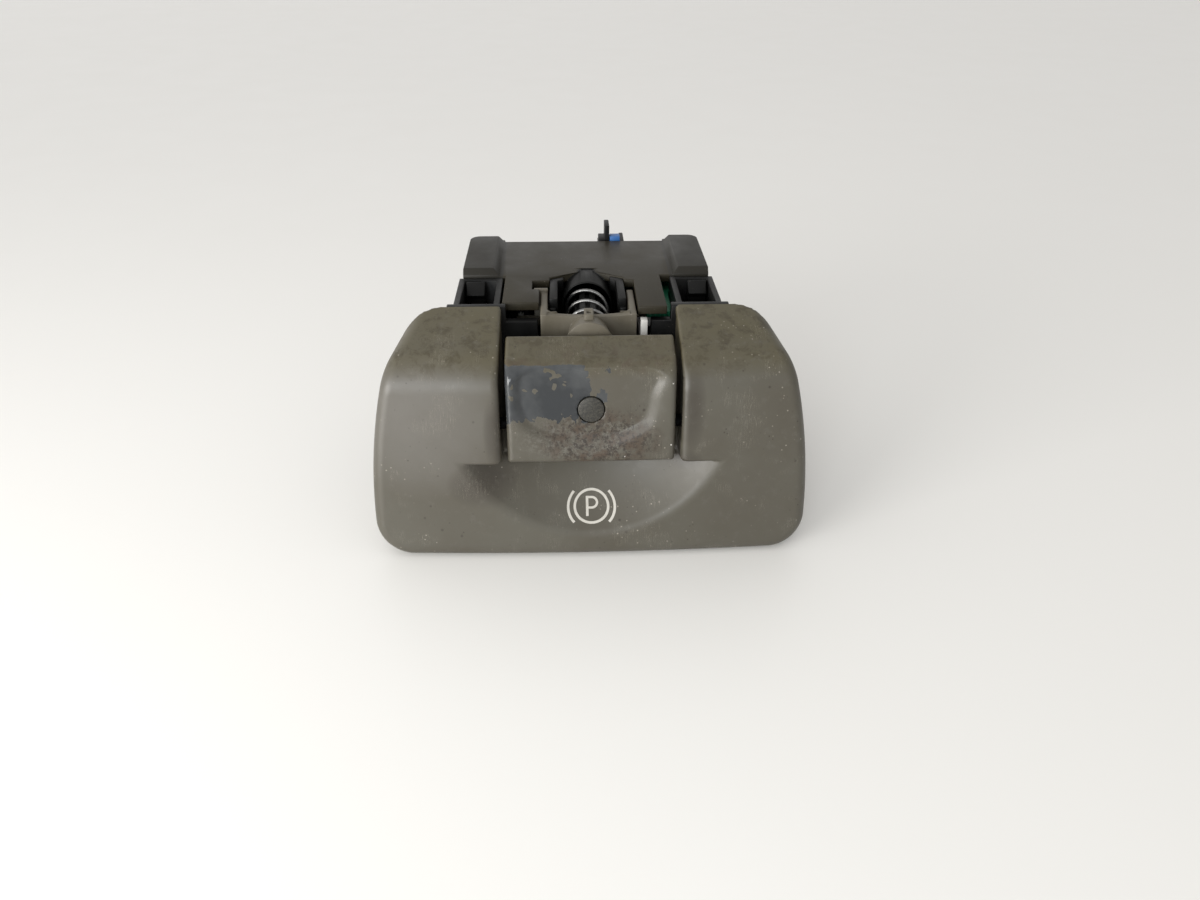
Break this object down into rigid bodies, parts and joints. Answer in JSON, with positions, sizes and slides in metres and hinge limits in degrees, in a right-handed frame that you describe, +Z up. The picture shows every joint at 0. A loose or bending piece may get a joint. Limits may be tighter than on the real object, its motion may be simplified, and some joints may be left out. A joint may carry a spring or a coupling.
{
  "type": "parking brake lever",
  "caption": "Dashboard pull switch for an electric parking brake: bezel with finger scoop, sprung rocking paddle with release button, and switch housing with rear connector.",
  "frame": {"origin": "middle of the outline on the plane the part stands on", "axes": "X across the bezel, Y from the face back to the connector, Z up"},
  "size_m": [0.11, 0.091, 0.0609],
  "materials": {
    "soft_grey": "soft-touch paint, worn",
    "raw_grey": "moulded",
    "black_plastic": "fine texture",
    "cover_grey": "moulded, scuffed",
    "spring_steel": "drawn wire",
    "dark_steel": "blackened",
    "board_green": "solder mask",
    "component_grey": "moulded",
    "white_plastic": "clear to milky",
    "pin_brass": "plated",
    "blue_plastic": "moulded"
  },
  "bodies": {
    "housing": {"bezel": "soft_grey", "pivot_pins": "dark_steel", "return_spring": "spring_steel", "case": "black_plastic", "cover": "cover_grey", "panel_clips": "black_plastic", "bezel_screws": "spring_steel", "circuit_board": "board_green", "board_screws": "spring_steel", "control_chip": "black_plastic", "board_components": "component_grey", "pull_switches": "black_plastic", "release_switch": "black_plastic", "symbol_led": "white_plastic", "light_guide": "white_plastic", "connector_header": "black_plastic", "connector_pins": "pin_brass"},
    "lever": {"pull_paddle": "soft_grey", "lever_core": "black_plastic", "button_spring": "spring_steel"},
    "button": {"release_button": "soft_grey"},
    "carrier": {"spring_carrier": "raw_grey", "spring_guide": "black_plastic"},
    "plungers": {"switch_plungers": "white_plastic"},
    "release": {"release_plunger": "white_plastic"},
    "lock": {"connector_lock": "blue_plastic"}
  },
  "joints": [
    {"name": "lever_pull", "type": "hinge", "parent": "housing", "child": "lever", "pos_m": [0, -0.0355, 0.0345], "axis": [-1, 0, 0], "range_deg": [0, 15]},
    {"name": "carrier_slide", "type": "slide", "parent": "housing", "child": "carrier", "axis": [0, 1, 0], "range_m": [0, 0.00325], "stiffness_N_per_m": 2000, "deforming": ["return_spring"]},
    {"name": "plunger_slide", "type": "slide", "parent": "housing", "child": "plungers", "axis": [0, 1, 0], "range_m": [0, 0.0036]},
    {"name": "button_press", "type": "slide", "parent": "lever", "child": "button", "axis": [0, 0.9877, -0.1564], "range_m": [0, 0.0012], "stiffness_N_per_m": 900, "deforming": ["button_spring"]},
    {"name": "release_plunger_press", "type": "slide", "parent": "housing", "child": "release", "axis": [0, 1, 0], "range_m": [0, 0.0006], "stiffness_N_per_m": 900},
    {"name": "connector_lock_slide", "type": "slide", "parent": "housing", "child": "lock", "axis": [0, 1, 0], "range_m": [0, 0.0025]}
  ],
  "couplings": [
    {"joint": "lever_pull", "follows": "carrier_slide", "rad_per_m": 75.18},
    {"joint": "plunger_slide", "follows": "carrier_slide", "ratio": 1}
  ]
}
